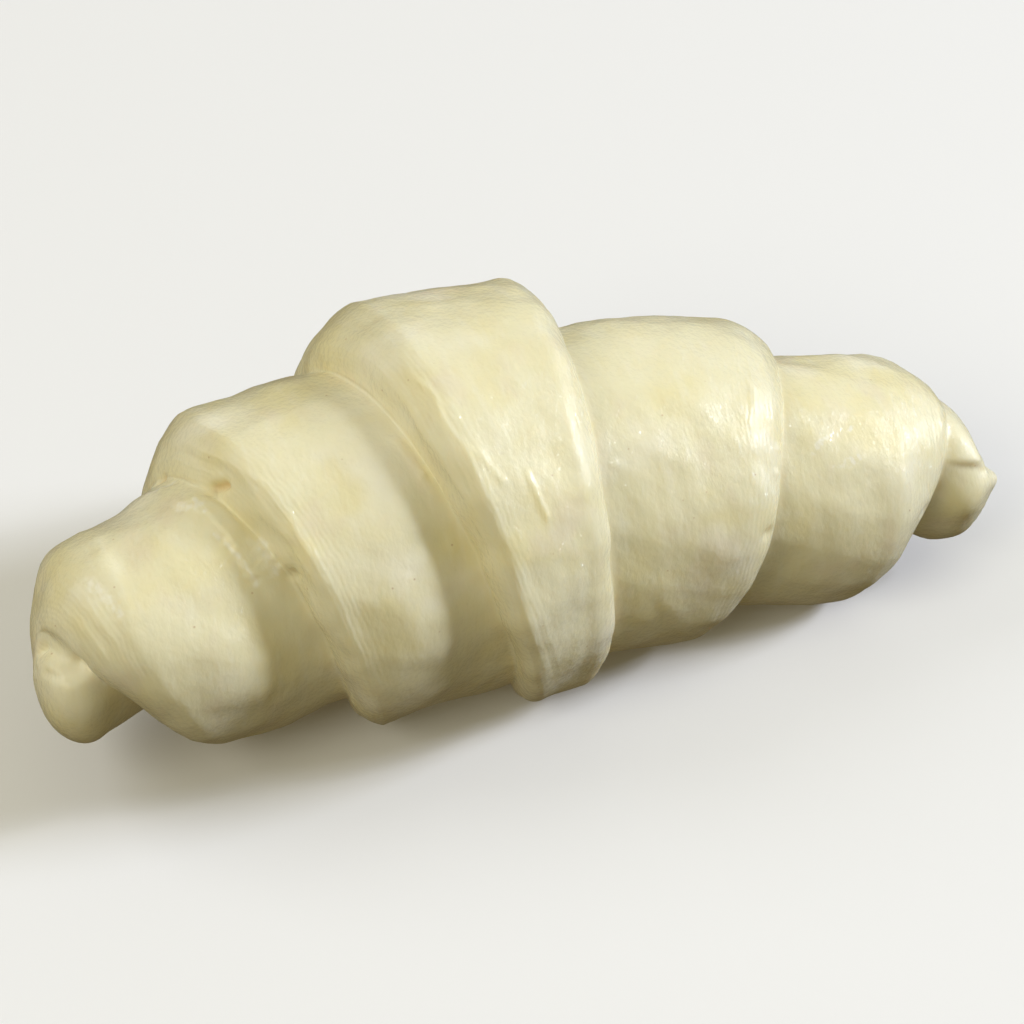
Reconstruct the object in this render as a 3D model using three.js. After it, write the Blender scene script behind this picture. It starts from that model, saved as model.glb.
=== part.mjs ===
import * as THREE from 'three';

// Raw croissant: a long triangle of laminated dough rolled up from its base to its tip. Each turn
// is narrower than the one it covers, so its two cut edges show as rounded steps round the roll.
// Millimetres, +X along the roll, +Y to its back, +Z up. It rests on z = 0.

// Driving dimensions of the rolled triangle, each list in even steps over the three covering turns,
// back from the flap's tip
const COVERING_TURNS = 3;
const ROLL_RADIUS = [27.2, 27, 24.5, 20.5, 21, 16, 13];
const LEFT = {
  way: -1,
  end: 64.8,
  capLength: 6.5,
  swell: 1,
  cutEdge: [3.2, 11.4, 20, 22.5, 25, 32.8, 43.4, 45.5, 46.5, 58.8, 64.2, 64.5, 64.4],
  edgeWidth: [2.6, 2.8, 7, 8, 4, 2.4, 5, 7, 6, 6, 9.5, 6.5, 5],
  edgeBevel: [0, 0, 0.22, 0.4, 0.2, 0.3, 0.3, 0.4, 0, 0.2, 0.3, 0.2, 0.2],
};
const RIGHT = {
  way: 1,
  end: 67,
  capLength: 9,
  swell: 0,
  cutEdge: [7.4, 6.6, 10.2, 15, 23.6, 32, 40.4, 45.9, 50, 57, 61.8, 63, 63],
  edgeWidth: [3, 4.4, 5, 5.4, 6, 6.6, 6.6, 7.4, 7.5, 7.5, 8, 6, 5],
  edgeBevel: [0, 0, 0, 0, 0, 0, 0, 0, 0, 0.4, 0.5, 0, 0],
};
const MOST_EDGE_SHARE = 0.75;
const EDGE_POWER = 0.45;
const FLAP_TIP_ANGLE = THREE.MathUtils.degToRad(152);
const FLAP_TIP_LENGTH = 4;

// The roll thins towards its ends, and one side is fuller than the other past the flap
const HALF_LENGTH = 65;
const TAPER = 3;
const SWELL_REACH = 24;

// Grooves where a turn dips beside the edge that lies on it
const GROOVE_TOP = 0.4;
const GROOVE_FRONT = 1.7;
const GROOVE_UNDER = 1.2;
const GROOVE_REACH = 7.4;
const GROOVE_ONSET = 0.4;

// The roll's axis sinks and bends forward to its ends, and its knobs turn further forward
const AXIS_HEIGHT = 23;
const AXIS_TILT = 2.7;
const AXIS_DROOP = 9.5;
const AXIS_LEVELLING = 2.5;
const AXIS_BOW = 6.4;
const KNOB_START = 50;
const KNOB_TURN = 2.9;

// Soft dents and bulges left by the hands: place along the roll, angle from its top towards the
// front, and how far the dough stands out there
const DENTS = [
  { along: -44, round: 140, out: -1.1 },
  { along: 51, round: 140, out: -0.6 },
  { along: -24, round: -50, out: 0.7 },
  { along: -38, round: -50, out: 1.3 },
  { along: -52, round: -50, out: -2.2 },
  { along: 60, round: -50, out: 2.4 },
  { along: 61, round: 45, out: 1.4 },
  { along: -20, round: 75, out: 1.8 },
  { along: -7, round: 90, out: 1 },
  { along: 6, round: 90, out: -0.5 },
];
const DENT_LENGTH = 6.5;
const DENT_ARC = THREE.MathUtils.degToRad(45);
const DENT_FADE_RADIUS = 6;

// The underside settles into a flat where it meets the table
const SETTLE_SOFTNESS = 0.8;
const SETTLE_LOSS = 0.2;

// Facets, with the columns of points drawn closer together at the flap's tip
const COLUMNS = 76;
const CROWDING = 0.5;
const TOP_STEPS = 4;
const EDGE_STEPS = 6;
const END_STEPS = 6;

const FULL_TURN = 2 * Math.PI;
const { clamp, lerp } = THREE.MathUtils;

// Smooth curve through values in even steps over the covering turns, read by a number of turns
function curveThrough(values) {
  const points = values.map((value, index) => new THREE.Vector2(index, value));
  const curve = new THREE.SplineCurve(points);
  return (turn) => curve.getPoint(clamp(turn / COVERING_TURNS, 0, 1)).y;
}

const radiusAt = curveThrough(ROLL_RADIUS);
for (const side of [LEFT, RIGHT]) {
  side.edgeAt = curveThrough(side.cutEdge);
  side.widthAt = curveThrough(side.edgeWidth);
  side.bevelAt = curveThrough(side.edgeBevel);
}

// Angle round the roll, from its top towards the front, of a place some turns back from the tip
function angleAt(turn) {
  return FLAP_TIP_ANGLE - turn * FULL_TURN;
}

function grooveDepth(side, turn, x) {
  const up = Math.cos(angleAt(turn));
  const deepest = up > 0 ? GROOVE_TOP : GROOVE_UNDER;
  const depth = lerp(GROOVE_FRONT, deepest, up * up);
  const onset = clamp((turn - 1) / GROOVE_ONSET, 0, 1);
  const away = (x - side.edgeAt(turn - 1)) / GROOVE_REACH;
  return depth * onset * Math.exp(-away * away);
}

// Radius of the roll's surface on a turn, at a distance from the roll's middle
function turnRadius(side, turn, x) {
  const swell = side.swell * clamp(x / SWELL_REACH, 0, 1);
  return radiusAt(turn) + swell - TAPER * (x / HALF_LENGTH) ** 2 - grooveDepth(side, turn, x);
}

// The flap's tip thins to nothing, as a rounded end
function flapThickness(turn) {
  const share = clamp((turn * FULL_TURN * ROLL_RADIUS[0]) / FLAP_TIP_LENGTH, 0, 1);
  return Math.sqrt(1 - (1 - share) ** 2);
}

function capShare(side, x) {
  const share = clamp((x - side.end + side.capLength) / side.capLength, 0, 1);
  return Math.sqrt(1 - share * share);
}

// One side's surface along the roll, from its middle to its end, at an angle round the roll that
// lies the given part of a turn back from the flap's tip
function halfColumn(side, start) {
  const samples = [];
  let inner = 0;
  for (let layer = 0; layer < COVERING_TURNS; layer += 1) {
    const turn = start + layer;
    const outer = side.edgeAt(turn);
    const width = Math.min(side.widthAt(turn), MOST_EDGE_SHARE * (outer - inner));
    const thickness = layer === 0 ? flapThickness(start) : 1;
    const top = (x) => lerp(turnRadius(side, turn + 1, x), turnRadius(side, turn, x), thickness);
    for (let step = 0; step < TOP_STEPS; step += 1) {
      const x = lerp(inner, outer - width, step / TOP_STEPS);
      samples.push({ x, radius: top(x) });
    }
    const foot = turnRadius(side, turn + 1, outer);
    for (let step = 0; step < EDGE_STEPS; step += 1) {
      const run = Math.sin((step / EDGE_STEPS) * (Math.PI / 2));
      const x = outer - width * (1 - run);
      const height = lerp((1 - run * run) ** EDGE_POWER, 1 - run, side.bevelAt(turn));
      samples.push({ x, radius: lerp(foot, top(x), height) });
    }
    inner = outer;
  }
  for (let step = 0; step <= END_STEPS; step += 1) {
    const x = lerp(inner, side.end, Math.sin((step / END_STEPS) * (Math.PI / 2)));
    samples.push({ x, radius: turnRadius(side, start + COVERING_TURNS, x) });
  }
  for (const sample of samples) {
    sample.radius *= capShare(side, sample.x);
    sample.x *= side.way;
  }
  return samples;
}

function dentsAt(x, angle) {
  let out = 0;
  for (const dent of DENTS) {
    const turned = angle - THREE.MathUtils.degToRad(dent.round);
    const arc = Math.atan2(Math.sin(turned), Math.cos(turned)) / DENT_ARC;
    const along = (x - dent.along) / DENT_LENGTH;
    out += dent.out * Math.exp(-along * along - arc * arc);
  }
  return out;
}

function settle(z) {
  return Math.max(0, (z + Math.hypot(z, SETTLE_SOFTNESS)) / 2 - SETTLE_LOSS);
}

// A point of the surface, round the roll's bent axis
function place({ x, radius }, angle) {
  const q = x / HALF_LENGTH;
  const knob = Math.max(0, Math.abs(x) - KNOB_START) / (HALF_LENGTH - KNOB_START);
  const full = radius + dentsAt(x, angle) * Math.min(1, radius / DENT_FADE_RADIUS);
  const axisY = -AXIS_BOW * q ** 2 - KNOB_TURN * knob ** 2;
  const axisZ = AXIS_HEIGHT - AXIS_TILT * q - AXIS_DROOP * q ** 2 + AXIS_LEVELLING * q ** 4;
  return [x, axisY - full * Math.sin(angle), settle(axisZ + full * Math.cos(angle))];
}

// Columns of points from the left end to the right end; all share one point at each end
function buildColumns() {
  const positions = [];
  const columns = [];
  for (let index = 0; index < COLUMNS; index += 1) {
    const start = index / COLUMNS - (CROWDING * Math.sin((FULL_TURN * index) / COLUMNS)) / FULL_TURN;
    const left = halfColumn(LEFT, start).slice(1).reverse();
    const samples = [...left, ...halfColumn(RIGHT, start)];
    const last = samples.length - 1;
    const column = samples.map((sample, row) => {
      const shared = index > 0 && (row === 0 || row === last);
      if (shared) return { ...sample, id: row === 0 ? columns[0][0].id : columns[0][last].id };
      positions.push(...place(sample, angleAt(start)));
      return { ...sample, id: positions.length / 3 - 1 };
    });
    columns.push(column);
  }
  return { positions, columns };
}

// Triangles between two columns, stepping along whichever is behind by the given measure
function stitch(first, second, measure, triangles) {
  let a = 0;
  let b = 0;
  while (a < first.length - 1 || b < second.length - 1) {
    const onFirst = a < first.length - 1 ? measure(first, a + 1) : Infinity;
    const onSecond = b < second.length - 1 ? measure(second, b + 1) : Infinity;
    const corner = onFirst <= onSecond ? first[a + 1] : second[b + 1];
    const triangle = [first[a].id, corner.id, second[b].id];
    if (new Set(triangle).size === triangle.length) triangles.push(...triangle);
    if (onFirst <= onSecond) a += 1;
    else b += 1;
  }
}

function buildDough() {
  const { positions, columns } = buildColumns();
  const triangles = [];
  const byRow = (column, row) => row;
  const byPlace = (column, row) => column[row].x;
  // Neighbours match row by row, except across the flap's tip, where each turn becomes the next
  columns.forEach((column, index) => {
    const next = columns[(index + 1) % COLUMNS];
    stitch(column, next, index + 1 < COLUMNS ? byRow : byPlace, triangles);
  });
  const geometry = new THREE.BufferGeometry();
  geometry.setAttribute('position', new THREE.Float32BufferAttribute(positions, 3));
  geometry.setIndex(triangles);
  geometry.computeBoundingBox();
  const { min, max } = geometry.boundingBox;
  geometry.translate(-(min.x + max.x) / 2, -(min.y + max.y) / 2, -min.z);
  geometry.computeVertexNormals();
  return geometry;
}

const doughMaterial = new THREE.MeshStandardMaterial({ color: 0xe9e2bd, roughness: 0.45, metalness: 0 });
const dough = new THREE.Mesh(buildDough(), doughMaterial);
dough.name = 'dough';

const croissant = new THREE.Group();
croissant.add(dough);

export default croissant;
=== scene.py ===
import math

import bpy
import numpy as np
from mathutils import Matrix, Vector


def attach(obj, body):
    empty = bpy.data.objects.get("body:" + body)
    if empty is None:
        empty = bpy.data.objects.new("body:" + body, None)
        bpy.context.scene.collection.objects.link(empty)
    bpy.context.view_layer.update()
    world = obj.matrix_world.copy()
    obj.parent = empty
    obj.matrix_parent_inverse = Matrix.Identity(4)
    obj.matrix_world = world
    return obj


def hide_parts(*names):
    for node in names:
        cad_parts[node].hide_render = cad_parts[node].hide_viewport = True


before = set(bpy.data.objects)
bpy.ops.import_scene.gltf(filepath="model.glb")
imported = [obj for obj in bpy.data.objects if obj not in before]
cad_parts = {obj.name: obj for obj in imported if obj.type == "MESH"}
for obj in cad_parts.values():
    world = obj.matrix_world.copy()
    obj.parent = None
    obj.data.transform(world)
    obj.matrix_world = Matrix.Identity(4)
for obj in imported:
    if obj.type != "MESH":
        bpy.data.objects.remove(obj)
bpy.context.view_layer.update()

# Raw croissant, rolled from a triangle of dough: the solid's sizes in millimetres, with finer relief
MM = 0.001
FULL_TURN = 2 * math.pi

# Sizes of the rolled triangle, each list in even steps over the turns back from the flap's tip
ROLL_RADIUS = [27.2, 27, 24.5, 20.5, 21, 16, 13]
COVERING_TURNS = 3
MOST_EDGE_SHARE = 0.75
EDGE_POWER = 0.45
FLAP_TIP_ANGLE = math.radians(152)
FLAP_TIP_LENGTH = 4
HALF_LENGTH = 65
TAPER = 3
SWELL_REACH = 24

# Grooves where a turn dips beside the edge that lies on it
GROOVE_TOP = 0.4
GROOVE_FRONT = 1.7
GROOVE_UNDER = 1.2
GROOVE_REACH = 7.4
GROOVE_ONSET = 0.4

# The roll's axis sinks and bends forward to its ends, and its knobs turn further forward
AXIS_HEIGHT = 23
AXIS_TILT = 2.7
AXIS_DROOP = 9.5
AXIS_LEVELLING = 2.5
AXIS_BOW = 6.4
KNOB_START = 50
KNOB_TURN = 2.9

# Soft dents and bulges: place along the roll, angle from its top towards the front, height
DENTS = [
    (-44, 140, -1.1),
    (51, 140, -0.6),
    (-24, -50, 0.7),
    (-38, -50, 1.3),
    (-52, -50, -2.2),
    (60, -50, 2.4),
    (61, 45, 1.4),
    (-20, 75, 1.8),
    (-7, 90, 1),
    (6, 90, -0.5),
]
DENT_LENGTH = 6.5
DENT_ARC = math.radians(45)
DENT_FADE_RADIUS = 6

# The underside settles into a flat where it meets the table
SETTLE_SOFTNESS = 0.8
SETTLE_LOSS = 0.2

# Grid: columns round the roll, rows along it, closer where the flap's tip and the shown side are
COLUMNS = 260
TOP_STEPS = 30
EDGE_STEPS = 23
END_STEPS = 26
TURN_STEPS = TOP_STEPS + EDGE_STEPS
TOP_CROWDING = 1.2
SHOWN_TURN = 0.28
SHOWN_CROWDING = 0.45
TIP_CROWDING = 1.6
TIP_CROWDING_REACH = 0.025
STARTS_STEPS = 4001
ENDS = 2
FAR_AWAY = 100
TINY = 1e-12

# Seeds of the unevenness, and the least and most share of its waves' usual number
SEED = 7
LUMP_SEED = 1
STREAK_SEED = 2
LAYER_SEED = 3
PATCH_SEED = 4
FILM_SEED = 5
BAND_SEED = 10
WAVE_SPREAD = (0.7, 1.4)

# Unevenness of the skin: wavelength and height of its lumps, then streaks drawn out round the roll
LUMPS = [(17, 0.16), (7, 0.07), (3.6, 0.025)]
STREAK_WAVELENGTH = 3
STREAK_STRETCH = 0.25
STREAK_HEIGHT = 0.02
STREAK_WAVES = 40
USUAL_WAVES = 16

# Lines of the dough's layers along the cut edges: their reach from the edge, and the bare middle
LINED_REACH = 9
LINED_SOFTNESS = 1.5
BARE_MIDDLE = 6

# Ridges of the layers
LAYER_SPACING = 1.4
LAYER_HEIGHT = 0.05
LAYER_START = 0.8
LAYER_STRETCH = 0.07
LAYER_PATCH = 11
LAYER_PATCHINESS = 0.3
LAYER_WAVES = 24
MEAN_RADIUS = 24

# Bands along the left edges: measure, turn, angles from and to, near and far side, softness, height
BANDS = [
    ("edge", 0, -10, 46, 0.9, 3.2, 0.5, -0.3),
    ("edge", 0, 0, 50, 3.8, 4.8, 0.3, 0.3),
    ("edge", 0, 6, 46, 5.5, 5.9, 0.14, 0.14),
    ("edge", 0, 8, 40, 6.7, 7.2, 0.14, 0.25),
    ("edge", 1, -20, 58, 1, 3.8, 0.6, -0.45),
    ("edge", 1, -10, 62, 4.3, 4.8, 0.2, 0.14),
    ("edge", 1, 0, 66, 5.6, 6, 0.15, 0.12),
    ("cover", 2, 3, 60, 0.9, 3.7, 0.25, 0.5),
    ("cover", 2, 40, 90, 4, 10, 2.6, -0.45),
    ("cover", 3, 0, 60, 0.3, 3.2, 0.6, -1.2),
]
BAND_WANDER = 0.35
BAND_WAVELENGTH = 9
BAND_FADE = 6

# Hollows and bulges: place along the roll, angle from its top to the front, radius, height
SPOTS = [
    (-42.5, 78, 5, 0.45),
    (-55.6, 11, 2.5, 0.4),
    (-52.5, 16, 2.5, -0.35),
    (-61.5, 80, 3.5, 0.6),
    (-17.7, 52, 0.4, 0.3),
    (-21, 64, 0.4, 0.3),
    (-33.6, 54, 0.9, -0.6),
    (-7, 85, 4.5, 0.4),
    (4, 85, 4.5, -0.4),
    (-5, 112, 4.5, 0.2),
    (4, 112, 4.5, -0.3),
    (9.4, 47, 0.45, 0.35),
    (28.3, 78, 0.8, -0.5),
    (32.2, 47, 0.5, 0.35),
    (31, 56, 0.5, 0.35),
    (38.3, 46, 2.6, 0.3),
    (43.3, 54, 2.4, 0.3),
    (47.5, 31, 2.4, 0.25),
    (40.3, 70, 2.6, 0.25),
    (49.5, -19, 2.5, 0.35),
    (45, -12, 2.2, -0.25),
    (53.7, 82, 1, -0.5),
    (60.5, 85, 3, 0.7),
    (65.5, 15, 3.5, -1.2),
    (64.5, 105, 4, -1),
    (66.3, 51, 1.8, 0.9),
]

# Long holes in the left edges: from a place to a place, half width and depth
HOLES = [
    ((-44.2, -30), (-43.5, -27), 0.6, 0.5),
    ((-39.6, 7.8), (-38.6, 11.4), 0.75, 1),
]
HOLE_STEEPNESS = 2.5

# Wet streaks on the left edges, with wrinkles and a painted sheen in pale colour: from a place to a
# place, half width; then the height and length of wrinkles
FILM_AND_SHEEN_STREAKS = [
    ((-43.7, 7), (-41.6, 12), 1),
    ((-41.9, 7), (-41.3, 15), 0.5),
    ((-41.1, 26), (-39.3, 39), 0.4),
    ((-39.3, 39), (-37.9, 53), 0.5),
    ((-36, 38), (-35.3, 50), 1),
    ((-57, 18), (-54.9, 40), 0.9),
    ((-45.8, -19), (-42.9, -13), 0.6),
]
FILM_HEIGHT = 0.1
FILM_WAVELENGTH = 1.6

# Painted glints of wet dough on the right shoulders: pale colour in the same measures, without relief
PAINTED_GLINTS = [
    ((28.5, 28), (26.2, 46), 0.7),
    ((28.4, 38), (26.9, 58), 0.7),
    ((37.3, 50), (39.4, 43), 1),
    ((39.4, 43), (44.6, 36), 0.8),
    ((40.2, 55), (44.2, 51), 1.3),
    ((53.5, 18), (50.2, 50), 0.8),
    ((54.8, 22), (52.9, 47), 0.6),
    ((59.8, 25), (59.2, 40), 0.7),
]

# Rounding of the corners at the feet of the cut edges: its reach, and how far from a foot it goes
FILLET_REACH = 0.5
FILLET_ZONE = 1.2

# Folds, where one skin lies over the next: from a place to a place, width, height of the left side
FOLDS = [
    ((58.5, 49), (65, 44), 3, 0.5),
    ((12, 94), (21, 132), 1.6, 0.4),
    ((-12.4, 10), (-11.4, 36), 1.2, -0.15),
]
FOLD_SHARPNESS = 0.4

# Thin ridges and grooves, in the same measures
CREASES = [
    ((-64, 8), (-60.2, 52), 0.9, -0.6),
    ((-63.8, 42), (-62.6, 54), 0.6, -0.3),
    ((-9.4, 38), (-7.6, 46), 0.4, 0.2),
    ((-4.2, 46), (-3, 57), 0.35, 0.28),
    ((-17.4, 22), (-15.7, 37), 0.4, 0.35),
    ((-15.7, 37), (-13.9, 61), 0.4, 0.35),
    ((-41, 18), (-38.4, 47), 0.4, 0.15),
]

# Colours of the dough, in linear light
CREAM = (0.82, 0.78, 0.565, 1)
YELLOW = (0.81, 0.75, 0.48, 1)
WHITE = (0.87, 0.84, 0.69, 1)
PINKISH = (0.79, 0.715, 0.55, 1)
# Amber is painted shade inside the holes
HOLE_SHADE_AMBER = (0.7, 0.54, 0.29, 1)
BROWN = (0.5, 0.33, 0.16, 1)
# Pale colour of the painted sheen and glints of wet dough
PAINTED_SHEEN = (0.92, 0.91, 0.84, 1)

# Clouds of colour: colour, size along x, y and z, noise where it starts and fully shows, strength
CLOUDS = [
    (YELLOW, (9, 9, 9), 0.42, 0.7, 1),
    (WHITE, (14, 11, 11), 0.5, 0.75, 1),
    (PINKISH, (6, 9, 9), 0.55, 0.75, 0.6),
    (WHITE, (1.5, 7, 7), 0.5, 0.75, 0.3),
]
CLOUD_DETAIL = 2

# Colour of walls, painted shade in the holes and painted sheen on wet places: where it starts and is
# full, then its least and full share
WALL_SHARE = (0.9, 0.1, 0, 0.35)
HOLE_SHADE_SHARE = (0.1, 1.3, 0, 1)
FILM_SHEEN_SHARE = (0.15, 0.6, 0, 0.6)
PAINTED_GLINT_SHARE = (0.4, 0.62, 0, 0.6)
SHEEN_BREAKS = (0.6, 0.9, 0.9)

# Brown specks
SPECK_SPACING = 3.2
SPECK_RADIUS = 0.22
SPECK_STRENGTH = 0.7
SPECK_SHARE = 0.7
SPECK_SHARE_STEP = 0.05

# Fine relief of the skin in the material: sizes, heights and depth
LINE_SPACING = 0.7
LINE_HEIGHT = 0.14
LINE_WANDER = 12
LINE_WANDER_SIZE = (4, 4, 4)
WRINKLE_SIZE = (0.8, 1.3, 1.3)
WRINKLE_DETAIL = 2
FOLD_SIZE = (2.5, 3.5, 3.5)
FOLD_HEIGHT = 1.6
PEBBLE_SIZE = (0.6, 0.8, 0.8)
PEBBLE_HEIGHT = 3.4
BUMP_DEPTH = 0.07
COAT_BUMP_DEPTH = 0.13

# Numbers of the mix node's sockets for colours
MIX_SHARE = 0
MIX_FIRST = 6
MIX_SECOND = 7
MIX_RESULT = 2

# Shine and glow of the dough
GLOSS_SIZE = (3, 6, 6)
GLOSS_DETAIL = 2
GLOSS_NOISE = (0.3, 0.7)
ROUGHNESS = (0.34, 0.52)
COAT_WEIGHT = 0.45
COAT_ROUGHNESS = 0.08
REFRACTION = 1.42
GLOW_WEIGHT = 0.6
GLOW_REACH = (1, 0.65, 0.3)
GLOW_SCALE = 2

# Camera, found by matching the outline: degrees, millimetres and pixels of a 1024 pixel frame
CAMERA_AZIMUTH = -22.8
CAMERA_ELEVATION = 41.2
CAMERA_ROLL = 1.4
CAMERA_DISTANCE = 443.8
CAMERA_TARGET = (0.65, 0, 19.2)
FOCAL_PIXELS = 3406
FRAME_PIXELS = 1024
SENSOR_WIDTH = 36
NEAREST_SEEN = 0.01

# Lights: name, azimuth from the front to the right, elevation, size in metres, watts and tint
LIGHTS = [
    ("key", 78, 28, 0.6, 31, (0.95, 1, 1.1)),
    ("fill", -60, 40, 1.1, 12.2, (1.06, 1, 0.77)),
    ("glint", 74, 32, 0.16, 4, (1, 1, 1)),
    ("rim", -125, 42, 1.3, 9, (1, 1, 1)),
]
LIGHT_DISTANCE = 2
SKY_LIGHT = (0.335, 0.31, 0.205, 1)
GROUND_LIGHT = (0.125, 0.096, 0.05, 1)
HORIZON = (-0.2, 0.5)

# Floor, in metres and linear light
FLOOR_HALF = 2.5
FLOOR_COLOR = (0.83, 0.84, 0.9, 1)
FLOOR_ROUGHNESS = 0.8


def curve_through(values):
    """Smooth curve through values in even steps over the covering turns, read by a number of turns."""
    padded = np.array([values[0], *values, values[-1], values[-1]], float)
    last = len(values) - 1

    def at(turn):
        place = np.clip(turn / COVERING_TURNS, 0, 1) * last
        index = np.floor(place).astype(int)
        t = place - index
        p0, p1, p2, p3 = (padded[index + step] for step in range(4))
        v0 = (p2 - p0) / 2
        v1 = (p3 - p1) / 2
        cubic = 2 * p1 - 2 * p2 + v0 + v1
        square = -3 * p1 + 3 * p2 - 2 * v0 - v1
        return ((cubic * t + square) * t + v0) * t + p1

    return at


class Side:
    """One side of the rolled triangle, with its cut edge: its place, its width and its share of bevel."""

    def __init__(self, way, end, cap_length, swell, cut_edge, edge_width, edge_bevel):
        self.way = way
        self.end = end
        self.cap_length = cap_length
        self.swell = swell
        self.edge_at = curve_through(cut_edge)
        self.width_at = curve_through(edge_width)
        self.bevel_at = curve_through(edge_bevel)


LEFT = Side(
    way=-1,
    end=64.8,
    cap_length=6.5,
    swell=1,
    cut_edge=[3.2, 11.4, 20, 22.5, 25, 32.8, 43.4, 45.5, 46.5, 58.8, 64.2, 64.5, 64.4],
    edge_width=[2.6, 2.8, 7, 8, 4, 2.4, 5, 7, 6, 6, 9.5, 6.5, 5],
    edge_bevel=[0, 0, 0.22, 0.4, 0.2, 0.3, 0.3, 0.4, 0, 0.2, 0.3, 0.2, 0.2],
)
RIGHT = Side(
    way=1,
    end=67,
    cap_length=9,
    swell=0,
    cut_edge=[7.4, 6.6, 10.2, 15, 23.6, 32, 40.4, 45.9, 50, 57, 61.8, 63, 63],
    edge_width=[3, 4.4, 5, 5.4, 6, 6.6, 6.6, 7.4, 7.5, 7.5, 8, 6, 5],
    edge_bevel=[0, 0, 0, 0, 0, 0, 0, 0, 0, 0.4, 0.5, 0, 0],
)
radius_at = curve_through(ROLL_RADIUS)


def mix(a, b, share):
    return a + (b - a) * share


def bell(distance):
    return np.exp(-distance * distance)


def step(value, at, softness):
    """0 below a value and 1 above it, with a soft change."""
    return 0.5 + 0.5 * np.tanh((value - at) / softness)


def window(value, low, high, softness):
    """1 between two values and 0 outside them, with soft changes."""
    return step(value, low, softness) * (1 - step(value, high, softness))


def wrapped(angle):
    return np.arctan2(np.sin(angle), np.cos(angle))


def angle_at(turn):
    """Angle round the roll, from its top towards the front, some turns back from the flap's tip."""
    return FLAP_TIP_ANGLE - turn * FULL_TURN


def groove_depth(side, turn, x):
    up = np.cos(angle_at(turn))
    depth = mix(GROOVE_FRONT, np.where(up > 0, GROOVE_TOP, GROOVE_UNDER), up * up)
    onset = np.clip((turn - 1) / GROOVE_ONSET, 0, 1)
    return depth * onset * bell((x - side.edge_at(turn - 1)) / GROOVE_REACH)


def turn_radius(side, turn, x):
    """Radius of the roll's surface on a turn, at a distance from the roll's middle."""
    swell = side.swell * np.clip(x / SWELL_REACH, 0, 1)
    return radius_at(turn) + swell - TAPER * (x / HALF_LENGTH) ** 2 - groove_depth(side, turn, x)


def flap_thickness(turn):
    share = np.clip(turn * FULL_TURN * ROLL_RADIUS[0] / FLAP_TIP_LENGTH, 0, 1)
    return np.sqrt(1 - (1 - share) ** 2)


def cap_share(side, x):
    share = np.clip((x - side.end + side.cap_length) / side.cap_length, 0, 1)
    return np.sqrt(1 - share * share)


def edge_distances(x, radius):
    """Distances over the surface from each sample to its turn's own cut edge, and from the one above."""
    lengths = np.hypot(np.diff(x, axis=1), np.diff(radius, axis=1))
    run = np.concatenate([np.zeros((len(x), 1)), np.cumsum(lengths, axis=1)], 1)
    layer = np.minimum(np.arange(x.shape[1]) // TURN_STEPS, COVERING_TURNS)
    feet = [(number + 1) * TURN_STEPS for number in range(COVERING_TURNS)]
    own = run[:, [*feet, -1]]
    above = np.concatenate([np.full((len(x), 1), -FAR_AWAY), run[:, feet]], 1)
    return {"edge": own[:, layer] - run, "cover": run - above[:, layer], "layer": layer + 0 * x}


def half_columns(side, starts):
    """One side's surface from the roll's middle to its end, one row of arrays for each column.

    turn is the sample's turn, and rise the height on its cut edge, from 0 at the foot to 1 on top.
    """
    start = starts[:, None]
    top_run = (np.arange(TOP_STEPS)[None] / TOP_STEPS) ** TOP_CROWDING
    edge_run = np.sin(np.arange(EDGE_STEPS)[None] / EDGE_STEPS * math.pi / 2)
    end_run = np.sin(np.arange(END_STEPS + 1)[None] / END_STEPS * math.pi / 2)
    blocks = []
    inner = np.zeros_like(start)
    for layer in range(COVERING_TURNS):
        turn = start + layer
        outer = side.edge_at(turn)
        width = np.minimum(side.width_at(turn), MOST_EDGE_SHARE * (outer - inner))
        thickness = flap_thickness(start) if layer == 0 else 1

        def top(x):
            return mix(turn_radius(side, turn + 1, x), turn_radius(side, turn, x), thickness)

        x = mix(inner, outer - width, top_run)
        blocks.append((x, top(x), turn + 0 * x, 1 + 0 * x))
        x = outer - width * (1 - edge_run)
        rise = mix((1 - edge_run**2) ** EDGE_POWER, 1 - edge_run, side.bevel_at(turn))
        foot = turn_radius(side, turn + 1, outer)
        blocks.append((x, mix(foot, top(x), rise), turn + 0 * x, rise + 0 * x))
        inner = outer
    turn = start + COVERING_TURNS
    x = mix(inner, side.end, end_run)
    blocks.append((x, turn_radius(side, turn, x), turn + 0 * x, 1 + 0 * x))
    x, radius, turn, rise = (np.concatenate(parts, 1) for parts in zip(*blocks))
    radius = radius * cap_share(side, x)
    return {"x": side.way * x, "radius": radius, "turn": turn, "rise": rise, **edge_distances(x, radius)}


def column_starts():
    """Places of the columns, in turns back from the flap's tip, by how closely they are wanted."""
    fine = np.linspace(0, 1, STARTS_STEPS)
    from_tip = np.minimum(fine, 1 - fine)
    density = 1 + SHOWN_CROWDING * np.cos(FULL_TURN * (fine - SHOWN_TURN))
    density += TIP_CROWDING * bell(from_tip / TIP_CROWDING_REACH)
    share = np.concatenate([[0], np.cumsum((density[1:] + density[:-1]) / 2)])
    return np.interp(np.arange(COLUMNS) / COLUMNS, share / share[-1], fine)


def dents_at(x, angle):
    out = 0
    for along, round_roll, height in DENTS:
        arc = wrapped(angle - math.radians(round_roll)) / DENT_ARC
        out = out + height * bell((x - along) / DENT_LENGTH) * bell(arc)
    return out


def settle(z):
    return np.maximum(0, (z + np.hypot(z, SETTLE_SOFTNESS)) / 2 - SETTLE_LOSS)


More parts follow.
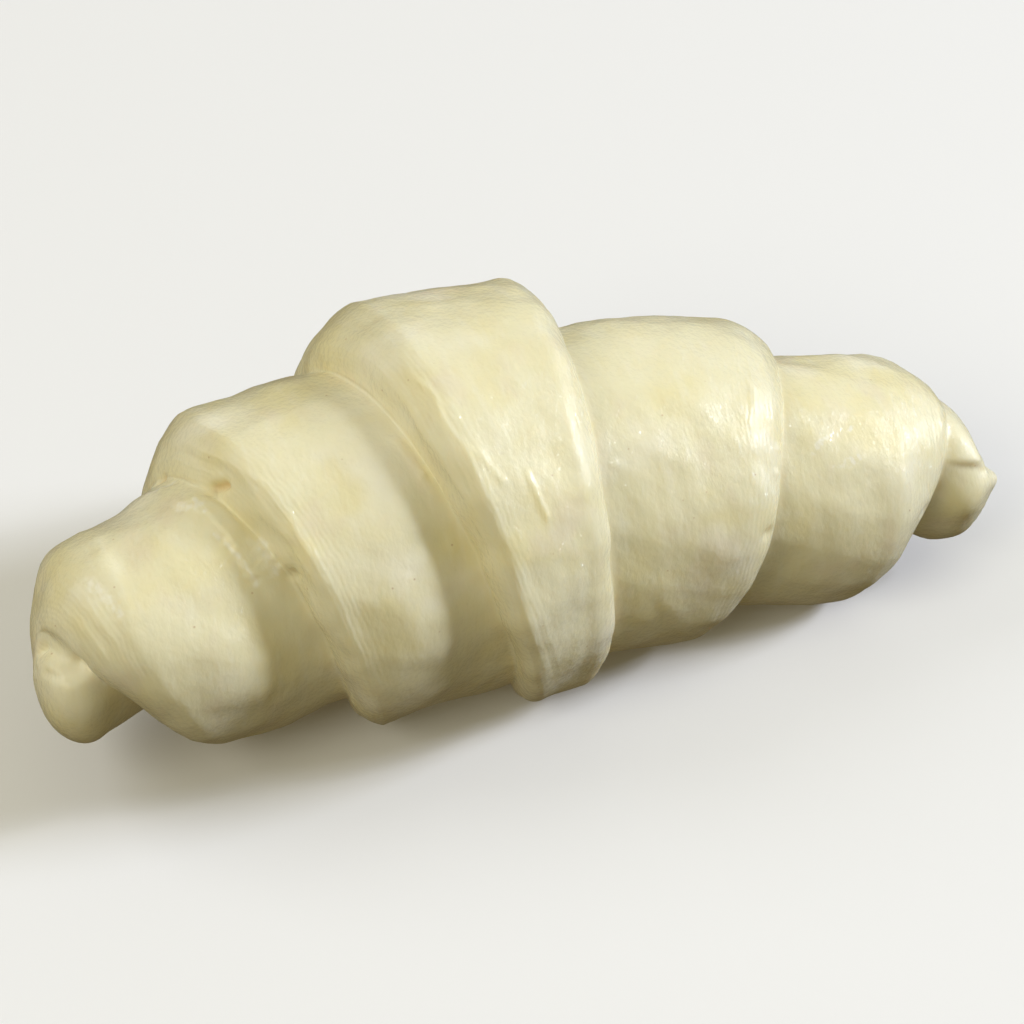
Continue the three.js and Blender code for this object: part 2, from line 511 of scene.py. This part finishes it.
def place(x, radius, angle):
    """Points of the surface, round the roll's bent axis."""
    q = x / HALF_LENGTH
    knob = np.maximum(0, np.abs(x) - KNOB_START) / (HALF_LENGTH - KNOB_START)
    full = radius + dents_at(x, angle) * np.minimum(1, radius / DENT_FADE_RADIUS)
    axis_y = -AXIS_BOW * q**2 - KNOB_TURN * knob**2
    axis_z = AXIS_HEIGHT - AXIS_TILT * q - AXIS_DROOP * q**2 + AXIS_LEVELLING * q**4
    return np.stack([x, axis_y - full * np.sin(angle), settle(axis_z + full * np.cos(angle))], -1)


def grid_normals(points):
    along = np.gradient(points, axis=1)
    around = np.gradient(points, axis=0)
    normals = np.cross(along, around)
    length = np.linalg.norm(normals, axis=-1, keepdims=True)
    return normals / np.maximum(length, TINY)


def rounded_feet(grid, points):
    """The points, near the feet of the cut edges drawn to the mean of the points near by."""
    lengths = np.linalg.norm(np.diff(points, axis=1), axis=-1)
    run = np.concatenate([np.zeros((len(lengths), 1)), np.cumsum(lengths, axis=1)], 1)
    share = np.gradient(run, axis=1)
    at_foot = np.maximum(bell(grid["edge"] / FILLET_ZONE), bell(grid["cover"] / FILLET_ZONE))
    rounded = np.empty_like(points)
    for column, row in enumerate(points):
        near = bell((run[column][:, None] - run[column]) / FILLET_REACH) * share[column]
        mean = near @ row / near.sum(1, keepdims=True)
        rounded[column] = mix(row, mean, at_foot[column][:, None])
    return rounded


def roll_grid():
    """The whole roll: points from the left end to the right end, for each column."""
    starts = column_starts()
    left = half_columns(LEFT, starts)
    right = half_columns(RIGHT, starts)
    grid = {key: np.concatenate([left[key][:, :0:-1], right[key]], 1) for key in left}
    grid["angle"] = wrapped(angle_at(starts))[:, None] + 0 * grid["x"]
    grid["points"] = place(grid["x"], grid["radius"], grid["angle"])
    grid["normals"] = grid_normals(grid["points"])
    return grid


def waves(points, wavelength, seed, count=USUAL_WAVES):
    """Smooth seeded unevenness of about unit height."""
    draw = np.random.default_rng(SEED + seed)
    direction = draw.normal(size=(count, 3))
    direction /= np.linalg.norm(direction, axis=1, keepdims=True)
    direction *= FULL_TURN / wavelength * draw.uniform(*WAVE_SPREAD, (count, 1))
    phase = draw.uniform(0, FULL_TURN, count)
    return np.sin(points @ direction.T + phase).sum(-1) * math.sqrt(2 / count)


def lumps(grid):
    points = grid["points"]
    out = sum(height * waves(points, wavelength, LUMP_SEED) for wavelength, height in LUMPS)
    drawn_out = points * [1, STREAK_STRETCH, STREAK_STRETCH]
    return out + STREAK_HEIGHT * waves(drawn_out, STREAK_WAVELENGTH, STREAK_SEED, STREAK_WAVES)


def lined(grid):
    """Share of the layers' lines that shows: none far from a cut edge or at the roll's middle."""
    return (1 - step(grid["edge"], LINED_REACH, LINED_SOFTNESS)) * (1 - bell(grid["x"] / BARE_MIDDLE))


def layer_ridges(grid):
    """Fine ridges along the cut edges, where the layers of dough show."""
    along_edge = LAYER_STRETCH * MEAN_RADIUS * grid["turn"] * FULL_TURN
    across = np.stack([grid["edge"], along_edge, FAR_AWAY * np.sign(grid["x"])], -1)
    shown = lined(grid) * step(grid["edge"], LAYER_START, LINED_SOFTNESS)
    patches = mix(1, waves(grid["points"], LAYER_PATCH, PATCH_SEED), LAYER_PATCHINESS)
    return LAYER_HEIGHT * shown * patches * waves(across, LAYER_SPACING, LAYER_SEED, LAYER_WAVES)


def bands(grid):
    """Hollows, torn strips and lips along the left cut edges."""
    degrees = np.degrees(grid["angle"])
    out = 0
    for number, (measure, layer, start, stop, near, far, softness, height) in enumerate(BANDS):
        here = (grid["x"] < 0) & (grid["layer"] == layer)
        wander = BAND_WANDER * waves(grid["points"], BAND_WAVELENGTH, BAND_SEED + number)
        across = window(grid[measure] + wander, near, far, softness)
        out = out + here * height * across * window(degrees, start, stop, BAND_FADE)
    return out


def spot_at(grid, along, round_roll):
    """Point of the surface at a place along the roll and an angle in degrees from its top."""
    away = np.abs(wrapped(grid["angle"][:, 0] - math.radians(round_roll)))
    column = away.argmin()
    x = grid["x"][column]
    return np.array([np.interp(along, x, grid["points"][column, :, axis]) for axis in range(3)])


def spots(grid):
    out = 0
    for along, round_roll, radius, height in SPOTS:
        distance = np.linalg.norm(grid["points"] - spot_at(grid, along, round_roll), axis=-1)
        out = out + height * bell(distance / radius)
    return out


def line_between(grid, start, end):
    """A line between two places, and each point's share along it and offset from it."""
    first = spot_at(grid, *start)
    line = spot_at(grid, *end) - first
    away = grid["points"] - first
    share = np.clip(away @ line / (line @ line), 0, 1)
    return line, share, away - share[..., None] * line


def holes(grid, depths):
    """Steep long holes, each as deep as told."""
    out = 0
    for (start, end, radius, _), depth in zip(HOLES, depths):
        distance = np.linalg.norm(line_between(grid, start, end)[2], axis=-1)
        out = out + depth * np.exp(-((distance / radius) ** HOLE_STEEPNESS))
    return out


def wet(grid, streaks):
    """Share of wet streaks, 1 along their middle: it places wrinkles of relief, and the painted sheen and
    glints.
    """
    out = 0
    for start, end, width in streaks:
        offset = line_between(grid, start, end)[2]
        out = np.maximum(out, bell(np.linalg.norm(offset, axis=-1) / width))
    return out


def creases(grid):
    out = 0
    for start, end, width, height in CREASES:
        offset = line_between(grid, start, end)[2]
        out = out + height * bell(np.linalg.norm(offset, axis=-1) / width)
    return out


def folds(grid):
    """Skins lying over each other, raised on one side of a line and sunk on the other."""
    out = 0
    for start, end, width, height in FOLDS:
        line, share, offset = line_between(grid, start, end)
        sideways = np.cross(grid["normals"], line / np.linalg.norm(line))
        side = np.tanh((sideways * offset).sum(-1) / FOLD_SHARPNESS)
        fade = np.sin(math.pi * share) * bell(np.linalg.norm(offset, axis=-1) / width)
        out = out + height * side * fade
    return out


def relief(grid):
    """How far each point stands out from the smooth roll."""
    uneven = lumps(grid) + layer_ridges(grid) + bands(grid) + spots(grid) + creases(grid) + folds(grid)
    film_and_sheen = FILM_HEIGHT * grid["film_and_sheen"] * waves(grid["points"], FILM_WAVELENGTH, FILM_SEED)
    return uneven + film_and_sheen - holes(grid, [hole[-1] for hole in HOLES])


def seam_triangles(first, second, x_first, x_second):
    """Triangles across the flap's tip, where each turn becomes the next, in order along the roll."""
    triangles = []
    a = b = 0
    while a < len(first) - 1 or b < len(second) - 1:
        on_first = x_first[a + 1] if a < len(first) - 1 else math.inf
        on_second = x_second[b + 1] if b < len(second) - 1 else math.inf
        forward = on_first <= on_second
        corner = first[a + 1] if forward else second[b + 1]
        triangle = (first[a], corner, second[b])
        if len(set(triangle)) == len(triangle):
            triangles.append(triangle)
        if forward:
            a += 1
        else:
            b += 1
    return triangles


def grid_faces(grid):
    """Vertex numbers of the grid, with one shared vertex at each end, and its faces."""
    ids = np.zeros(grid["x"].shape, int)
    ids[:, -1] = 1
    inner = ids[:, 1:-1]
    inner[:] = ENDS + np.arange(inner.size).reshape(inner.shape)
    a, b = ids[:-1, 1:-2], ids[:-1, 2:-1]
    c, d = ids[1:, 2:-1], ids[1:, 1:-2]
    quads = np.stack([a, b, c, d], -1).reshape(-1, 4)
    left_fan = np.stack([ids[:-1, 0], ids[:-1, 1], ids[1:, 1]], -1)
    right_fan = np.stack([ids[:-1, -2], ids[:-1, -1], ids[1:, -2]], -1)
    seam = seam_triangles(ids[-1].tolist(), ids[0].tolist(), grid["x"][-1], grid["x"][0])
    return ids, [*quads.tolist(), *left_fan.tolist(), *right_fan.tolist(), *seam]


def by_vertex(values, ids):
    """Grid values in the order of the vertices."""
    ordered = np.zeros((ids.max() + 1, *values.shape[2:]))
    ordered[ids.ravel()] = values.reshape(-1, *values.shape[2:])
    return ordered


def build_dough():
    grid = roll_grid()
    # Mask of the holes, for the painted shade inside them
    grid["hole"] = holes(grid, [1] * len(HOLES))
    grid["lined"] = lined(grid)
    # Wet streaks: wrinkles of relief, and pale colour for a painted sheen
    grid["film_and_sheen"] = wet(grid, FILM_AND_SHEEN_STREAKS)
    # Painted glints: pale colour on the right shoulders, without relief
    grid["glint"] = wet(grid, PAINTED_GLINTS)
    ids, faces = grid_faces(grid)
    smooth = by_vertex(grid["points"], ids)
    shift = -(smooth.min(0) + smooth.max(0)) / 2
    shift[2] = 0
    raised = rounded_feet(grid, grid["points"] + grid["normals"] * relief(grid)[..., None])
    raised[..., 2] = np.maximum(raised[..., 2], 0)
    vertices = (by_vertex(raised, ids) + shift) * MM
    mesh = bpy.data.meshes.new("dough_skin")
    mesh.from_pydata(vertices.tolist(), [], faces)
    mesh.polygons.foreach_set("use_smooth", [True] * len(mesh.polygons))
    # Attributes for the material; three of them place the painted shade in the holes, the painted sheen
    # on the wet streaks and the painted glints
    for name in ("edge", "lined", "rise", "hole", "film_and_sheen", "glint"):
        attribute = mesh.attributes.new(name, "FLOAT", "POINT")
        attribute.data.foreach_set("value", by_vertex(grid[name], ids))
    mesh.update()
    skin = bpy.data.objects.new("dough_skin", mesh)
    bpy.context.scene.collection.objects.link(skin)
    return skin


class Shader:
    """Makes and links the nodes of one node tree."""

    def __init__(self, tree):
        self.tree = tree

    def set(self, node, values):
        for key, value in values.items():
            if isinstance(value, bpy.types.NodeSocket):
                self.tree.links.new(value, node.inputs[key])
            else:
                node.inputs[key].default_value = value

    def node(self, kind, values, **settings):
        made = self.tree.nodes.new("ShaderNode" + kind)
        for key, value in settings.items():
            setattr(made, key, value)
        self.set(made, values)
        return made

    def place(self, size):
        """Coordinates on the object, in sizes of a pattern given in millimetres for x, y and z."""
        position = self.node("TexCoord", {}).outputs["Object"]
        per_size = [1 / (length * MM) for length in size]
        return self.node("Mapping", {"Vector": position, "Scale": per_size}).outputs["Vector"]

    def noise(self, size, detail=2):
        values = {"Vector": self.place(size), "Scale": 1, "Detail": detail}
        return self.node("TexNoise", values).outputs["Fac"]

    def attribute(self, name):
        return self.node("Attribute", {}, attribute_name=name).outputs["Fac"]

    def math(self, operation, *values):
        return self.node("Math", dict(enumerate(values)), operation=operation).outputs[0]

    def ramp(self, value, low, high, start=0, end=1):
        """A smooth change from start to end while the value goes from low to high."""
        values = {"Value": value, "From Min": low, "From Max": high, "To Min": start, "To Max": end}
        return self.node("MapRange", values, interpolation_type="SMOOTHSTEP").outputs["Result"]

    def bump(self, height, depth):
        return self.node("Bump", {"Height": height, "Distance": depth * MM}).outputs["Normal"]

    def blend(self, share, a, b):
        """A mix of two colours."""
        values = {MIX_SHARE: share, MIX_FIRST: a, MIX_SECOND: b}
        return self.node("Mix", values, data_type="RGBA").outputs[MIX_RESULT]


def dough_color(shader):
    """Cream dough with clouds of colour, yellow cut edges, amber painted shade in the holes, painted
    sheen on wet places and brown specks.
    """
    color = CREAM
    for cloud, size, start, full, strength in CLOUDS:
        share = shader.ramp(shader.noise(size, CLOUD_DETAIL), start, full, 0, strength)
        color = shader.blend(share, color, cloud)
    color = shader.blend(shader.ramp(shader.attribute("rise"), *WALL_SHARE), color, YELLOW)
    # Painted shade: darker amber inside the holes
    color = shader.blend(shader.ramp(shader.attribute("hole"), *HOLE_SHADE_SHARE), color, HOLE_SHADE_AMBER)
    # Painted sheen and glints: pale colour broken by noise on the wet streaks and the right shoulders
    breaks = shader.noise(SHEEN_BREAKS)
    for name, shares in (("film_and_sheen", FILM_SHEEN_SHARE), ("glint", PAINTED_GLINT_SHARE)):
        broken = shader.math("MULTIPLY", shader.attribute(name), breaks)
        color = shader.blend(shader.ramp(broken, *shares), color, PAINTED_SHEEN)
    cells = shader.node("TexVoronoi", {"Vector": shader.place([SPECK_SPACING] * 3), "Scale": 1})
    pick = shader.node("SeparateColor", {"Color": cells.outputs["Color"]}).outputs[0]
    picked = shader.ramp(pick, SPECK_SHARE, SPECK_SHARE + SPECK_SHARE_STEP, SPECK_STRENGTH, 0)
    near = shader.ramp(cells.outputs["Distance"], 0, SPECK_RADIUS / SPECK_SPACING, 1, 0)
    return shader.blend(shader.math("MULTIPLY", picked, near), color, BROWN)


def dough_height(shader, soft_folds):
    """Fine lines along the cut edges, and small wrinkles and folds all over."""
    edge = shader.attribute("edge")
    wander = shader.math("MULTIPLY", shader.noise(LINE_WANDER_SIZE), LINE_WANDER)
    lines = shader.math("SINE", shader.math("MULTIPLY_ADD", edge, FULL_TURN / LINE_SPACING, wander))
    strength = shader.math("MULTIPLY", shader.attribute("lined"), LINE_HEIGHT)
    lines = shader.math("MULTIPLY", lines, strength)
    wrinkles = shader.noise(WRINKLE_SIZE, WRINKLE_DETAIL)
    return shader.math("ADD", shader.math("ADD", lines, wrinkles), soft_folds)


def dough_material():
    material = bpy.data.materials.new("raw_dough")
    material.use_nodes = True
    shader = Shader(material.node_tree)
    soft_folds = shader.math("MULTIPLY", shader.noise(FOLD_SIZE), FOLD_HEIGHT)
    pebbles = shader.math("MULTIPLY", shader.noise(PEBBLE_SIZE), PEBBLE_HEIGHT)
    gloss = shader.noise(GLOSS_SIZE, GLOSS_DETAIL)
    surface = material.node_tree.nodes["Principled BSDF"]
    surface.subsurface_method = "BURLEY"
    shader.set(surface, {
        "Base Color": dough_color(shader),
        "Roughness": shader.ramp(gloss, *GLOSS_NOISE, *ROUGHNESS),
        "Normal": shader.bump(dough_height(shader, soft_folds), BUMP_DEPTH),
        "Coat Normal": shader.bump(shader.math("ADD", soft_folds, pebbles), COAT_BUMP_DEPTH),
        "Coat Weight": COAT_WEIGHT,
        "Coat Roughness": COAT_ROUGHNESS,
        "IOR": REFRACTION,
        "Subsurface Weight": GLOW_WEIGHT,
        "Subsurface Radius": GLOW_REACH,
        "Subsurface Scale": GLOW_SCALE * MM,
    })
    return material


def build_floor():
    """A pale sheet that shows the shadow and throws no light back up on the dough."""
    mesh = bpy.data.meshes.new("floor")
    half = FLOOR_HALF
    corners = [(-half, -half, 0), (half, -half, 0), (half, half, 0), (-half, half, 0)]
    mesh.from_pydata(corners, [], [(0, 1, 2, 3)])
    floor = bpy.data.objects.new("floor", mesh)
    material = bpy.data.materials.new("floor_paper")
    material.use_nodes = True
    values = {"Base Color": FLOOR_COLOR, "Roughness": FLOOR_ROUGHNESS}
    Shader(material.node_tree).set(material.node_tree.nodes["Principled BSDF"], values)
    mesh.materials.append(material)
    floor.visible_diffuse = False
    floor.visible_glossy = False
    bpy.context.scene.collection.objects.link(floor)


def direction_of(azimuth, elevation):
    """Direction towards an azimuth from the front to the right, and a height over the floor."""
    round_z, up = math.radians(azimuth), math.radians(elevation)
    return Vector((math.sin(round_z) * math.cos(up), -math.cos(round_z) * math.cos(up), math.sin(up)))


def build_light(name, azimuth, elevation, size, power, tint):
    light = bpy.data.lights.new(name, "AREA")
    light.shape = "DISK"
    light.size = size
    light.energy = power
    light.color = tint
    lamp = bpy.data.objects.new(name, light)
    away = direction_of(azimuth, elevation)
    lamp.location = away * LIGHT_DISTANCE
    lamp.rotation_mode = "QUATERNION"
    lamp.rotation_quaternion = away.to_track_quat("Z", "Y")
    bpy.context.scene.collection.objects.link(lamp)


def build_world():
    """Soft light from above, and a little warmer light from below."""
    world = bpy.data.worlds.new("studio")
    world.use_nodes = True
    shader = Shader(world.node_tree)
    direction = shader.node("TexCoord", {}).outputs["Generated"]
    height = shader.node("SeparateXYZ", {"Vector": direction}).outputs["Z"]
    color = shader.blend(shader.ramp(height, *HORIZON), GROUND_LIGHT, SKY_LIGHT)
    shader.set(world.node_tree.nodes["Background"], {"Color": color})
    bpy.context.scene.world = world


def build_camera():
    roll = math.radians(CAMERA_ROLL)
    back = direction_of(CAMERA_AZIMUTH, CAMERA_ELEVATION)
    right = Vector((0, 0, 1)).cross(back).normalized()
    up = back.cross(right)
    rolled_right = right * math.cos(roll) + up * math.sin(roll)
    rolled_up = up * math.cos(roll) - right * math.sin(roll)
    data = bpy.data.cameras.new("camera")
    data.sensor_width = SENSOR_WIDTH
    data.lens = FOCAL_PIXELS * SENSOR_WIDTH / FRAME_PIXELS
    data.clip_start = NEAREST_SEEN
    camera = bpy.data.objects.new("camera", data)
    turn = Matrix((rolled_right, rolled_up, back)).transposed().to_4x4()
    position = (Vector(CAMERA_TARGET) + back * CAMERA_DISTANCE) * MM
    camera.matrix_world = Matrix.Translation(position) @ turn
    bpy.context.scene.collection.objects.link(camera)
    bpy.context.scene.camera = camera


skin = build_dough()
skin.data.materials.append(dough_material())
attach(skin, "root")
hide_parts("dough")

build_floor()
for light in LIGHTS:
    build_light(*light)
build_world()
build_camera()
bpy.context.scene.view_settings.view_transform = "Standard"
